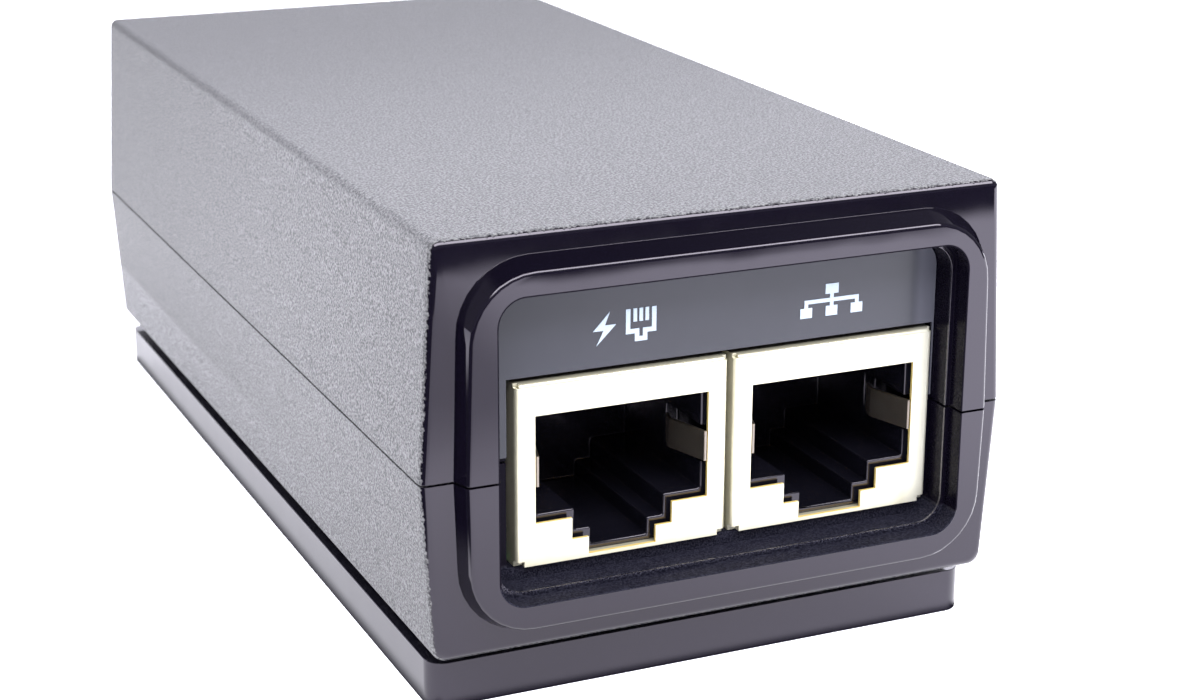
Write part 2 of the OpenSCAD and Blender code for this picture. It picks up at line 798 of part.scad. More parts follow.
module inlet_pins() {
    color(tin) for (p = pin_at) {
        rod_y(p[0], inlet_z + p[1], pin_r, inlet_face_y - inlet_l, inlet_face_y - 2.6);
        translate([p[0], inlet_face_y - 2.6, inlet_z + p[1]]) rotate([-90, 0, 0])
            cylinder(r1 = pin_r, r2 = 0.75, h = 0.6);
        rod_y(p[0], inlet_z + p[1], 0.8, 24.6, inlet_face_y - 14.7);
    }
}

// A wire from one inlet terminal, bent down to its hole in the board
module inlet_wire(k) {
    bend = 2.5;
    r = wire_r;
    x = pin_at[k][0];
    z = inlet_z + pin_at[k][1];
    y = wire_at[k][1];
    rod_y(x, z, r, y + bend, 24.55);
    translate([x, y + bend, z - bend]) rotate([90, 0, -90])
        rotate_extrude(angle = 90) translate([bend, 0]) circle(r = r);
    post(x, y, r, board_top + 0.3, z - bend);
    post(x, y, 0.4, lead_end, board_top + 0.5);
}

module live_wire() { color(wire_brown) inlet_wire(0); }

module neutral_wire() { color(wire_blue) inlet_wire(1); }

module earth_wire() { color(wire_green) inlet_wire(2); }

// ---------------------------------------------------------------- supply

module fuse() {
    color(fuse_black) {
        post(fuse_at[0], fuse_at[1], 4.1, board_top + 0.2, board_top + 7.7);
        leads(fuse_leads, board_top + 0.4);
    }
}

module varistor() {
    color(ceramic_blue) {
        rod_y(varistor_at[0], board_top + 5.6, 4.2, varistor_at[1] - 1.4, varistor_at[1] + 1.4);
        leads(varistor_leads, board_top + 3.5);
    }
}

module x_capacitor() {
    color(film_grey) {
        translate(x_cap_at) slab(rounded(-2.5, 2.5, -6.4, 6.4, 0.4, 4), board_top + 0.1, board_top + 11);
        leads(x_cap_leads, board_top + 0.5);
    }
}

choke_r = 3.1;
choke_z = board_top + 6.3;

module choke_ring(half_x, half_y, from, sweep) {
    rotate([0, 0, from]) rotate_extrude(angle = sweep) translate([choke_r, 0])
        square([2 * half_x, 2 * half_y], center = true);
}

module at_choke() {
    translate([choke_at[0], choke_at[1], choke_z]) rotate([90, 0, 0]) children();
}

module choke_core() {
    color(ferrite) at_choke() rotate_extrude() translate([choke_r, 0])
        square([1.9, 3.6], center = true);
}

module choke_windings() {
    turns = 8;
    step = 15;
    color(copper) {
        at_choke() for (half = [0, 1], k = [0:turns - 1]) difference() {
            choke_ring(1.45, 2.3, half * 180 - turns * step / 2 + k * step, step * 0.8);
            choke_ring(0.97, 1.82, 0, 360);
        }
        leads(choke_leads, board_top + 4.3);
    }
}

module bridge_rectifier() {
    color(gloss_black) {
        span([bridge_at[0] - 4.1, bridge_at[0] + 4.1], [bridge_at[1] - 3, bridge_at[1] + 3],
             [board_top + 0.3, board_top + 3.1]);
        for (p = bridge_leads) {
            side = p[1] > bridge_at[1] ? 1 : -1;
            y = side > 0 ? [bridge_at[1] + 2.9, p[1] + 0.3] : [p[1] - 0.3, bridge_at[1] - 2.9];
            span([p[0] - 0.5, p[0] + 0.5], y, [board_top + 1.2, board_top + 1.5]);
        }
        leads(bridge_leads, board_top + 1.4);
    }
}

// Electrolytic capacitor: a can with a scored vent, and a printed sleeve shrunk round it
module capacitor_can(x, y, r, h) {
    color(aluminium) translate([x, y, board_top]) difference() {
        post(0, 0, r, 0.2, h);
        for (turn = [0, 60, 120]) rotate([0, 0, turn])
            span([-r * 0.6, r * 0.6], [-0.15, 0.15], [h - 0.25, h + 1]);
    }
}

module capacitor_sleeve(x, y, r, h, tint) {
    color(tint) translate([x, y, board_top]) difference() {
        post(0, 0, r + 0.2, 0.3, h + 0.12);
        post(0, 0, r + 0.01, 0, h + 0.005);
        post(0, 0, r - 0.9, 1, h + 1);
    }
}

bulk_r = 4.9;
bulk_h = 17;
output_r = 4;
output_h = 12.5;

module bulk_capacitor_can() {
    capacitor_can(bulk_at[0], bulk_at[1], bulk_r, bulk_h);
    color(aluminium) leads(bulk_leads, board_top + 1);
}

module bulk_capacitor_sleeve() {
    capacitor_sleeve(bulk_at[0], bulk_at[1], bulk_r, bulk_h, sleeve_violet);
}

module output_capacitor_cans() {
    for (c = output_cap_at) capacitor_can(c[0], c[1], output_r, output_h);
    color(aluminium) leads(output_leads, board_top + 1);
}

module output_capacitor_sleeves() {
    for (c = output_cap_at) capacitor_sleeve(c[0], c[1], output_r, output_h, sleeve_green);
}

// Dual in-line package with its legs, long along Y
module dual_in_line(at, half_x, half_y, list) {
    difference() {
        span([at[0] - half_x, at[0] + half_x], [at[1] - half_y, at[1] + half_y],
             [board_top + 0.5, board_top + 3.8]);
        post(at[0], at[1] + half_y, 0.8, board_top + 3.4, board_top + 5);
    }
    for (p = list) {
        x = p[0] > at[0] ? [at[0] + half_x - 0.1, p[0] + 0.3] : [p[0] - 0.3, at[0] - half_x + 0.1];
        span(x, [p[1] - 0.5, p[1] + 0.5], [board_top + 1.9, board_top + 2.2]);
    }
    leads(list, board_top + 2.1);
}

module switching_controller() {
    color(gloss_black) dual_in_line(controller_at, 3.2, 4.7, controller_leads);
}

module optocoupler() {
    color(gloss_black) dual_in_line(opto_at, 3.2, 2.3, opto_leads);
}

winding_z = [4.75, 12.05];

module at_transformer() {
    translate([transformer_at[0], transformer_at[1], board_top]) children();
}

// Two E-shaped ferrite halves that meet at mid height
module transformer_core() {
    color(ferrite) at_transformer() for (half = [[0.6, 8.39], [8.41, 16.2]]) difference() {
        span([-8, 8], [-2.9, 2.9], half);
        for (x = [[-5.4, -2.5], [2.5, 5.4]]) span(x, [-4, 4], [3.8, 13]);
    }
}

module transformer_bobbin() {
    color(bobbin_black) at_transformer() difference() {
        union() {
            span([-3.3, 3.3], [-3.7, 3.7], [3.9, 12.9]);
            for (z = [[3.9, 4.7], [12.1, 12.9]]) span([-5.3, 5.3], [-7, 7], z);
            for (y = [[-7, -4.2], [4.2, 7]]) span([-6, 6], y, [0.2, 4.7]);
        }
        span([-2.6, 2.6], [-3, 3], [0, 16]);
    }
}

module winding_ring(x, y, inner_x, inner_y) {
    difference() {
        slab(rounded(-x, x, -y, y, 1.2, 4), winding_z[0], winding_z[1]);
        slab(rounded(-inner_x, inner_x, -inner_y, inner_y, 0.1, 1), 4, 13);
    }
}

module transformer_winding() {
    color(copper) at_transformer() winding_ring(4.6, 5.9, 3.35, 3.75);
}

module transformer_tape() {
    color(tape_yellow) at_transformer() difference() {
        slab(rounded(-5.1, 5.1, -6.4, 6.4, 1.7, 4), winding_z[0], winding_z[1]);
        slab(rounded(-4.62, 4.62, -5.92, 5.92, 1.2, 4), 4, 13);
    }
}

module transformer_pins() {
    color(tin) leads(transformer_leads, board_top + 0.2);
}

module y_capacitor() {
    color(ceramic_blue) {
        rod_y(y_cap_at[0], board_top + 5.2, 4, y_cap_at[1] - 1.2, y_cap_at[1] + 1.2);
        leads(y_cap_leads, board_top + 5);
    }
}

// Rectifier in a tab package, screwed to the heatsink
module output_diode() {
    z0 = board_top + 3;
    color(gloss_black) {
        translate([diode_at[0], diode_at[1], z0]) {
            span([-1.6, 1.6], [-5, 5], [0, 8.6]);
            difference() {
                span([1.2, 2.5], [-5, 5], [2, 14.5]);
                rod_x(0, 5, 0, 11.8, 1.8);
            }
        }
        leads(diode_leads, z0 + 0.5);
    }
}

module output_heatsink() {
    x = diode_at[0] + 2.55;
    y1 = diode_at[1] + 6.6;
    z1 = board_top + 18;
    color(aluminium) difference() {
        union() {
            span([x, x + 1.2], [diode_at[1] - 5.6, y1], [board_top + 0.1, z1]);
            span([x - 5, x + 1.2], [y1 - 1.2, y1], [board_top + 4, z1]);
        }
        rod_x(0, 30, diode_at[1], board_top + 14.8, 1.3);
    }
}

module heatsink_screw() {
    x = diode_at[0] + 1.15;
    z = board_top + 14.8;
    color(steel) difference() {
        union() {
            rod_x(x - 1.6, x, diode_at[1], z, 2.4);
            rod_x(x - 0.5, x + 4.2, diode_at[1], z, 1.25);
        }
        span([x - 2, x - 1], [diode_at[1] - 0.3, diode_at[1] + 0.3], [z - 1.8, z + 1.8]);
    }
}

module output_inductor() {
    color(ferrite) {
        translate([inductor_at[0], inductor_at[1], board_top]) {
            for (z = [0.2, 7.4]) post(0, 0, 3.6, z, z + 1.2);
            post(0, 0, 3, 1, 8);
        }
        leads(inductor_leads, board_top + 0.5);
    }
}

upper_shell();
lower_shell();
case_screws();
port_label();
port_marks();
wall_bracket();
bracket_latch();
jack_shield(0);  // poe_jack_shield
jack_housing(0);  // poe_jack_housing
contact_springs(0);  // poe_contact_springs
contact_tails(0);  // poe_contact_tails
contact_carrier(0);  // poe_contact_carrier
finger(0, -1);  // poe_finger_left
finger(0, 1);  // poe_finger_right
jack_shield(1);  // lan_jack_shield
jack_housing(1);  // lan_jack_housing
contact_springs(1);  // lan_contact_springs
contact_tails(1);  // lan_contact_tails
contact_carrier(1);  // lan_contact_carrier
finger(1, -1);  // lan_finger_left
finger(1, 1);  // lan_finger_right
circuit_board();
insulation_sheet();
inlet_body();
inlet_pins();
live_wire();
neutral_wire();
earth_wire();
fuse();
varistor();
x_capacitor();
choke_core();
choke_windings();
bridge_rectifier();
bulk_capacitor_can();
bulk_capacitor_sleeve();
switching_controller();
transformer_core();
transformer_bobbin();
transformer_winding();
transformer_tape();
transformer_pins();
y_capacitor();
optocoupler();
output_diode();
output_heatsink();
heatsink_screw();
output_capacitor_cans();
output_capacitor_sleeves();
output_inductor();
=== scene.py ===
"""Finishes, rounded edges, studio light and camera for the power injector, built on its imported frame.

Everything is in metres in the frame's own axes: the jacks face -Y, +Z is up, and the bracket's
underside is at z = 0.
"""
import math

import bpy
from mathutils import Matrix, Vector

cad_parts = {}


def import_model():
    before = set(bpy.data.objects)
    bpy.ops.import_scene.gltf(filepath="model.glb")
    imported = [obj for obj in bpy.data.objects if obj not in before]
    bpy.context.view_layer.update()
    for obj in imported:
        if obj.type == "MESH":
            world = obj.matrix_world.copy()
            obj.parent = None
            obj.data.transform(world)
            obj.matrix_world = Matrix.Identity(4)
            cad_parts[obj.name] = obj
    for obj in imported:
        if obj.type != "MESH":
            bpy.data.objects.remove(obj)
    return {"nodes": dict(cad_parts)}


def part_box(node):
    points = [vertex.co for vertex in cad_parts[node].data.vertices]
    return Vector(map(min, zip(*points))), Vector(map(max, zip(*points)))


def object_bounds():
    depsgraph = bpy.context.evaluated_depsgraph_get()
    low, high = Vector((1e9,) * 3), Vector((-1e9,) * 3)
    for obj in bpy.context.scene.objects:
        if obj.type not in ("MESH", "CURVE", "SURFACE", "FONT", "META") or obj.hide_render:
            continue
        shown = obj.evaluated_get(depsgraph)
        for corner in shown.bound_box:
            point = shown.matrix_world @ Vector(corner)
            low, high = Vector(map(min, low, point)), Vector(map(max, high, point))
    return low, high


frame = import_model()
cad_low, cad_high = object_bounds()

MM = 0.001

# The raised frames stand this far proud of the flat end faces
FRAME_OUT = 1.4 * MM
END_Y = cad_high.y - FRAME_OUT
# The openings inside the frames, with their rounded edges: bottom and top, half width, corner radius
MOUTH_Z = (7.65 * MM, 28.7 * MM)
MOUTH_X = 17.225 * MM
MOUTH_R = 2.0 * MM
# The front jacks and their overlay stand in a recess whose walls reach this far back
RECESS_BACK = 4.3 * MM
# The two shells meet here
PARTING_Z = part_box("upper_shell")[0].z

BLACK = (0.0, 0.0, 0.0)
WHITE = (1.0, 1.0, 1.0)


class Shader:
    """Short calls for the shader nodes that the finishes, the floor and the studio share."""

    def __init__(self, tree, coordinates):
        self.tree = tree
        self.place = self.add("ShaderNodeTexCoord").outputs[coordinates]

    def add(self, kind, **settings):
        node = self.tree.nodes.new(kind)
        for name, value in settings.items():
            setattr(node, name, value)
        return node

    def feed(self, socket, value):
        """Gives a socket a number or colour, or links another node's output to it."""
        if isinstance(value, bpy.types.NodeSocket):
            self.tree.links.new(value, socket)
        elif isinstance(value, tuple) and len(value) == 3 and len(socket.default_value) == 4:
            socket.default_value = (*value, 1.0)
        else:
            socket.default_value = value

    def maths(self, operation, first, second=0.0):
        node = self.add("ShaderNodeMath", operation=operation)
        self.feed(node.inputs[0], first)
        self.feed(node.inputs[1], second)
        return node.outputs[0]

    def product(self, first, *others):
        for other in others:
            first = self.maths("MULTIPLY", first, other)
        return first

    def largest(self, first, *others):
        for other in others:
            first = self.maths("MAXIMUM", first, other)
        return first

    def distance(self, value, middle):
        """How far a coordinate is from a middle, on either side of it."""
        return self.maths("ABSOLUTE", self.maths("SUBTRACT", value, middle))

    def axes(self):
        node = self.add("ShaderNodeSeparateXYZ")
        self.feed(node.inputs[0], self.place)
        return node.outputs[0], node.outputs[1], node.outputs[2]

    def ramp(self, value, low, high, out_low=0.0, out_high=1.0):
        """Maps low..high smoothly onto out_low..out_high, and holds beyond both."""
        node = self.add("ShaderNodeMapRange", interpolation_type="SMOOTHSTEP")
        for socket, number in zip(node.inputs, (value, low, high, out_low, out_high)):
            self.feed(socket, number)
        return node.outputs[0]

    def above(self, value, limit, soft):
        """1 where a coordinate is over a limit, 0 under it, with a soft border."""
        return self.ramp(value, limit - soft, limit + soft)

    def below(self, value, limit, soft):
        """1 where a coordinate is under a limit, 0 over it, with a soft border."""
        return self.ramp(value, limit - soft, limit + soft, 1.0, 0.0)

    def noise(self, size, detail=2.0, stretch=(1.0, 1.0, 1.0)):
        """Blotches about this many metres across, longer on an axis whose stretch is under 1."""
        mapping = self.add("ShaderNodeMapping")
        self.feed(mapping.inputs["Vector"], self.place)
        mapping.inputs["Scale"].default_value = tuple(axis / size for axis in stretch)
        node = self.add("ShaderNodeTexNoise")
        self.feed(node.inputs["Vector"], mapping.outputs[0])
        node.inputs["Scale"].default_value = 1.0
        node.inputs["Detail"].default_value = detail
        return node.outputs["Fac"]

    def mix(self, factor, first, second):
        """Mixes two colours."""
        node = self.add("ShaderNodeMix", data_type="RGBA")
        self.feed(node.inputs[0], factor)
        self.feed(node.inputs[6], first)
        self.feed(node.inputs[7], second)
        return node.outputs[2]

    def blend(self, factor, first, second):
        """Mixes two numbers."""
        node = self.add("ShaderNodeMix", data_type="FLOAT")
        self.feed(node.inputs[0], factor)
        self.feed(node.inputs[2], first)
        self.feed(node.inputs[3], second)
        return node.outputs[0]


class Finish(Shader):
    """One procedural material."""

    def __init__(self, name, colour, rough, metal=0.0):
        self.material = bpy.data.materials.new(name)
        self.material.use_nodes = True
        super().__init__(self.material.node_tree, "Object")
        self.surface = self.tree.nodes["Principled BSDF"]
        self.normal = None
        self.set("Base Color", colour)
        self.set("Roughness", rough)
        self.set("Metallic", metal)
        self.set("IOR", 1.5)

    def set(self, name, value):
        self.feed(self.surface.inputs[name], value)

    def edges(self, radius):
        """1 along edges and corners, 0 on open faces: where handling wears a surface."""
        rounded = self.add("ShaderNodeBevel", samples=4)
        rounded.inputs["Radius"].default_value = radius
        here = self.add("ShaderNodeNewGeometry").outputs["Normal"]
        compare = self.add("ShaderNodeVectorMath", operation="DOT_PRODUCT")
        self.feed(compare.inputs[0], rounded.outputs[0])
        self.feed(compare.inputs[1], here)
        return self.ramp(compare.outputs["Value"], 0.88, 0.995, 1.0, 0.0)

    def bump(self, height, depth):
        """Adds relief this many metres deep on top of any that is already there."""
        node = self.add("ShaderNodeBump")
        self.feed(node.inputs["Height"], height)
        self.feed(node.inputs["Distance"], depth)
        if self.normal is not None:
            self.feed(node.inputs["Normal"], self.normal)
        self.normal = node.outputs[0]
        self.set("Normal", self.normal)


# ---------------------------------------------------------------- finishes

# Glossy black plastic mirrors white paper a little violet
VIOLET_SHEEN = (0.93, 0.87, 1.0)


def in_mouth(finish, off, z, soft, inset=0.0):
    """1 inside a frame's opening, for a distance off its middle and a height.

    The inset makes the opening smaller on all sides.
    """
    radius = MOUTH_R - inset
    middle = (MOUTH_Z[0] + MOUTH_Z[1]) / 2
    half_height = MOUTH_Z[1] - middle
    past_x = finish.largest(finish.maths("SUBTRACT", off, MOUTH_X - MOUTH_R), 0.0)
    past_z = finish.maths("SUBTRACT", finish.distance(z, middle), half_height - MOUTH_R)
    past_z = finish.largest(past_z, 0.0)
    squares = finish.maths("ADD", finish.maths("POWER", past_x, 2.0), finish.maths("POWER", past_z, 2.0))
    return finish.below(finish.maths("SQRT", squares), radius, soft)


def case_skin(finish, y, z, grain):
    """Colour of the spark-eroded skin: pale grains, worn edges, and painted shade that darkens the top
    towards the rear.
    """
    hollows = (0.038, 0.038, 0.043)
    grains = (0.16, 0.16, 0.167)
    # Painted shade: towards the rear, the top shell is darkened to this colour, where less light falls
    rear_shade = (0.03, 0.03, 0.033)
    skin = finish.mix(finish.ramp(grain, 0.38, 0.63), hollows, grains)
    worn = finish.product(finish.edges(0.25 * MM), 0.12)
    skin = finish.mix(worn, skin, (0.16, 0.16, 0.17))
    # Mask of the painted rear shade on the upper shell
    rear_shade_mask = finish.ramp(y, -30 * MM, END_Y)
    upper = finish.above(z, PARTING_Z, 0.3 * MM)
    return finish.mix(finish.product(rear_shade_mask, upper), skin, rear_shade)


def case_plastic():
    """Moulded case: spark-eroded skin, polished end faces and frames, and a dull recess whose walls are
    darkened as painted shade.

    The flat end faces carry a bright line where they end at the frame's opening, and the recess
    has a speckled sill.
    """
    polished = (0.0026, 0.002, 0.0052)
    skin_to = 0.26 * MM
    ridge_to = 0.08 * MM
    ridge_inset = 0.3 * MM
    sill_top = MOUTH_Z[0] + 1.55 * MM
    finish = Finish("case_plastic", polished, 0.5)
    x, y, z = finish.axes()
    far = finish.maths("ABSOLUTE", y)

    ragged = finish.ramp(finish.noise(0.3 * MM), 0.3, 0.7, -0.07 * MM, 0.07 * MM)
    end_face = finish.ramp(finish.maths("ADD", far, ragged), END_Y - skin_to, END_Y - 0.19 * MM)
    label_low, label_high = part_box("port_label")
    off = finish.distance(x, (label_low.x + label_high.x) / 2)
    along = finish.ramp(far, END_Y - RECESS_BACK, END_Y - RECESS_BACK + 0.2 * MM)
    recess = finish.product(in_mouth(finish, off, z, 0.03 * MM), along)
    sill = finish.product(recess, finish.below(z, sill_top, 0.15 * MM))
    ridge = finish.product(finish.above(far, END_Y - skin_to, 0.02 * MM),
                           finish.below(far, END_Y - ridge_to, 0.02 * MM),
                           in_mouth(finish, off, z, 0.02 * MM, ridge_inset))
    smooth = finish.largest(end_face, recess)

    grain = finish.noise(0.16 * MM, 3.0)
    fine = finish.noise(0.11 * MM, 1.0)
    speckled = finish.mix(finish.ramp(fine, 0.35, 0.7), (0.004, 0.004, 0.009), (0.022, 0.022, 0.034))
    moulded = finish.mix(sill, polished, speckled)
    finish.set("Base Color", finish.mix(smooth, case_skin(finish, y, z, grain), moulded))

    skin_rough = finish.ramp(grain, 0.3, 0.7, 0.52, 0.38)
    gloss_rough = finish.ramp(finish.noise(2.5 * MM), 0.3, 0.7, 0.03, 0.055)
    dull_rough = finish.blend(sill, finish.ramp(fine, 0.3, 0.7, 0.2, 0.32), 0.6)
    rough = finish.blend(recess, finish.blend(end_face, skin_rough, gloss_rough), dull_rough)
    finish.set("Roughness", finish.blend(ridge, rough, 0.12))

    # Painted shade: the recess walls have their shine turned almost off, so they read dark, as in shade
    shaded_walls = finish.maths("SUBTRACT", recess, sill)
    shine = finish.blend(sill, finish.ramp(shaded_walls, 0.0, 1.0, 0.5, 0.04), 0.05)
    finish.set("Specular IOR Level", finish.blend(ridge, shine, 0.6))
    finish.set("Specular Tint", finish.mix(smooth, WHITE, VIOLET_SHEEN))

    textured = finish.maths("SUBTRACT", 1.0, smooth)
    finish.bump(finish.product(grain, textured), 0.2 * MM)
    finish.bump(finish.product(finish.noise(0.14 * MM, 2.0), sill), 0.06 * MM)
    finish.bump(finish.product(finish.noise(5 * MM, 1.0), end_face), 0.02 * MM)
    return finish.material


def polished_plastic(name, colour, rough=0.08):
    """Glossy moulded plastic: faint flow marks, uneven shine and slightly paler edges."""
    finish = Finish(name, colour, rough)
    patchy = finish.noise(2.5 * MM)
    worn = finish.edges(0.15 * MM)
    pale = tuple(channel * 1.6 + 0.012 for channel in colour)
    finish.set("Base Color", finish.mix(finish.product(worn, 0.5), colour, pale))
    finish.set("Roughness", finish.ramp(patchy, 0.3, 0.7, rough * 0.8, rough * 1.35))
    finish.set("Specular Tint", VIOLET_SHEEN)
    finish.bump(finish.noise(5 * MM, 1.0), 0.02 * MM)
    finish.bump(finish.noise(0.12 * MM), 0.0012 * MM)
    return finish.material


def moulded_component(name, colour, rough=0.4):
    """Matt moulded or dipped body of an electronic component."""
    finish = Finish(name, colour, rough)
    grain = finish.noise(0.15 * MM, 3.0)
    pale = tuple(min(1.0, channel * 1.5 + 0.02) for channel in colour)
    tint = finish.mix(finish.ramp(grain, 0.35, 0.75, 0.0, 0.3), colour, pale)
    worn = finish.product(finish.edges(0.12 * MM), 0.5)
    finish.set("Base Color", finish.mix(worn, tint, pale))
    finish.set("Roughness", finish.ramp(finish.noise(1.5 * MM), 0.3, 0.7, rough - 0.06, rough + 0.1))
    finish.bump(grain, 0.01 * MM)
    return finish.material


def plated_metal(name, colour, rough=0.3, streak=(1.0, 1.0, 1.0), wear=(0.45, 0.36, 0.2)):
    """Plated or drawn metal with fine streaks, patchy shine and worn edges."""
    finish = Finish(name, colour, rough, metal=1.0)
    lines = finish.noise(0.12 * MM, 3.0, streak)
    cloud = finish.noise(3 * MM)
    deep = tuple(channel * 0.86 for channel in colour)
    tint = finish.mix(finish.ramp(cloud, 0.35, 0.65), deep, colour)
    worn = finish.product(finish.edges(0.08 * MM), 0.55)
    finish.set("Base Color", finish.mix(worn, tint, wear))
    finish.set("Roughness", finish.ramp(lines, 0.3, 0.7, rough - 0.06, rough + 0.08))
    finish.bump(lines, 0.0015 * MM)
    return finish.material


def cut_edges(finish):
    """1 on the cut edges of the shields' sheet round the mouths, 0 elsewhere."""
    sheet = 0.25 * MM
    mouth_half = 6.65 * MM
    fold = 1.1 * MM
    low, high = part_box("poe_jack_shield")
    x, y, z = finish.axes()
    facing = finish.add("ShaderNodeSeparateXYZ")
    finish.feed(facing.inputs[0], finish.add("ShaderNodeNewGeometry").outputs["True Normal"])
    sideways = finish.ramp(finish.maths("ABSOLUTE", facing.outputs[1]), 0.6, 0.8, 1.0, 0.0)
    in_front = finish.below(y, low.y + sheet + 0.04 * MM, 0.02 * MM)
    in_sheet = finish.ramp(y, low.y + 0.005 * MM, low.y + 0.02 * MM)
    inboard = 0.0
    for node in ("poe_jack_shield", "lan_jack_shield"):
        near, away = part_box(node)
        off = finish.distance(x, (near.x + away.x) / 2)
        inboard = finish.largest(inboard, finish.below(off, mouth_half, 0.05 * MM))
    lower = finish.below(z, high.z - fold, 0.1 * MM)
    return finish.product(sideways, in_front, in_sheet, inboard, lower)


def shield_plate():
    """Satin nickel plate over brass, whose cut edges round the mouth show golden, with a painted
    reflection that pales the right flange of the right shield.
    """
    nickel = (0.66, 0.63, 0.5)
    pale = (0.86, 0.84, 0.72)
    cut_gold = (0.98, 0.74, 0.22)
    finish = Finish("shield_plate", nickel, 0.34, metal=0.65)
    cut = cut_edges(finish)
    cloud = finish.noise(2.2 * MM)
    grain = finish.noise(0.1 * MM, 3.0, (1.0, 1.0, 0.25))
    tint = finish.mix(finish.ramp(cloud, 0.35, 0.7), (0.61, 0.58, 0.45), nickel)
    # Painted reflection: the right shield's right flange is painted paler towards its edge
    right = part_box("lan_jack_shield")[1].x
    tint = finish.mix(finish.ramp(finish.axes()[0], right - 2 * MM, right - 0.8 * MM), tint, pale)
    finish.set("Base Color", finish.mix(finish.product(cut, 0.85), tint, cut_gold))
    finish.set("Roughness", finish.blend(cut, finish.ramp(grain, 0.3, 0.7, 0.28, 0.42), 0.6))
    finish.bump(grain, 0.0015 * MM)
    finish.bump(finish.noise(3 * MM, 1.0), 0.012 * MM)
    return finish.material


def overlay_film():
    """Printed polycarbonate overlay: smooth grey-blue with a faint fine grain, and painted light that
    makes it paler towards its right end.
    """
    grey = (0.022, 0.023, 0.033)
    finish = Finish("overlay_film", grey, 0.22)
    finish.set("Specular IOR Level", 0.33)
    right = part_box("port_label")[1].x
    # Painted light: the film is painted paler towards its right end, next to the recess wall
    painted_right_light = finish.ramp(finish.axes()[0], right - 1.9 * MM, right - 1.1 * MM)
    fine = finish.noise(0.08 * MM)
    cloud = finish.noise(6 * MM)
    tint = finish.mix(finish.ramp(cloud, 0.3, 0.7), grey, (0.025, 0.026, 0.037))
    finish.set("Base Color", finish.mix(painted_right_light, tint, (0.066, 0.067, 0.085)))
    finish.set("Roughness", finish.ramp(fine, 0.3, 0.7, 0.19, 0.27))
    finish.bump(fine, 0.0005 * MM)
    return finish.material


def printed_ink():
    """Screen-printed pale ink, a little uneven at its surface."""
    finish = Finish("printed_ink", (0.37, 0.44, 0.53), 0.5)
    fine = finish.noise(0.06 * MM)
    patchy = finish.ramp(fine, 0.3, 0.7)
    finish.set("Base Color", finish.mix(patchy, (0.35, 0.42, 0.51), (0.4, 0.47, 0.56)))
    finish.bump(fine, 0.002 * MM)
    return finish.material


def solder_mask():
    """Green board with the weave showing through and copper tracks under the mask."""
    green = (0.012, 0.11, 0.035)
    finish = Finish("solder_mask", green, 0.28)
    tracks = finish.add("ShaderNodeTexBrick")
    finish.feed(tracks.inputs["Vector"], finish.place)
    tracks.inputs["Scale"].default_value = 1 / (9 * MM)
    tracks.inputs["Mortar Size"].default_value = 0.06
    tracks.inputs["Mortar Smooth"].default_value = 0.2
    copper = tracks.outputs["Fac"]
    weave = finish.noise(0.35 * MM, 1.0, (1.0, 0.3, 1.0))
    tint = finish.mix(finish.ramp(weave, 0.35, 0.65, 0.0, 0.35), green, (0.02, 0.16, 0.06))
    finish.set("Base Color", finish.mix(finish.product(copper, 0.6), tint, (0.05, 0.24, 0.07)))
    finish.set("Roughness", finish.ramp(weave, 0.3, 0.7, 0.22, 0.36))
    finish.bump(copper, 0.03 * MM)
    finish.bump(weave, 0.004 * MM)
    return finish.material


def wound_copper(name, turn):
    """Enamelled copper wire laid in turns this many metres apart."""
    finish = Finish(name, (0.55, 0.2, 0.07), 0.28, metal=1.0)
    bands = finish.add("ShaderNodeTexWave", wave_type="BANDS", bands_direction="Z")
    finish.feed(bands.inputs["Vector"], finish.place)
    bands.inputs["Scale"].default_value = 1 / turn / 3.2
    bands.inputs["Distortion"].default_value = 0.4
    wire = bands.outputs["Fac"]
    finish.set("Base Color", finish.mix(wire, (0.22, 0.06, 0.02), (0.66, 0.27, 0.1)))
    finish.set("Roughness", finish.ramp(finish.noise(0.5 * MM), 0.3, 0.7, 0.22, 0.36))
    finish.bump(wire, 0.06 * MM)
    return finish.material


def dress(finish, *nodes):
    """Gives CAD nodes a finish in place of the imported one."""
    for name in nodes:
        for slot in frame["nodes"][name].material_slots:
            slot.material = finish


def dress_outside():
    dress(case_plastic(), "upper_shell", "lower_shell")
    bracket = polished_plastic("bracket_plastic", (0.004, 0.0034, 0.0075), 0.1)
    dress(bracket, "wall_bracket", "bracket_latch")
    dress(overlay_film(), "port_label")
    dress(printed_ink(), "port_marks")


def dress_jacks():
    dress(shield_plate(), "poe_jack_shield", "lan_jack_shield")
    dress(polished_plastic("jack_plastic", (0.0035, 0.0034, 0.006), 0.14), "poe_jack_housing",
          "lan_jack_housing", "poe_contact_carrier", "lan_contact_carrier", "inlet_body")
    dress(plated_metal("finger_plate", (0.3, 0.265, 0.235), 0.38), "poe_finger_left",
          "poe_finger_right", "lan_finger_left", "lan_finger_right")
    dress(plated_metal("contact_gold", (0.86, 0.6, 0.22), 0.22), "poe_contact_springs",
          "poe_contact_tails", "lan_contact_springs", "lan_contact_tails")


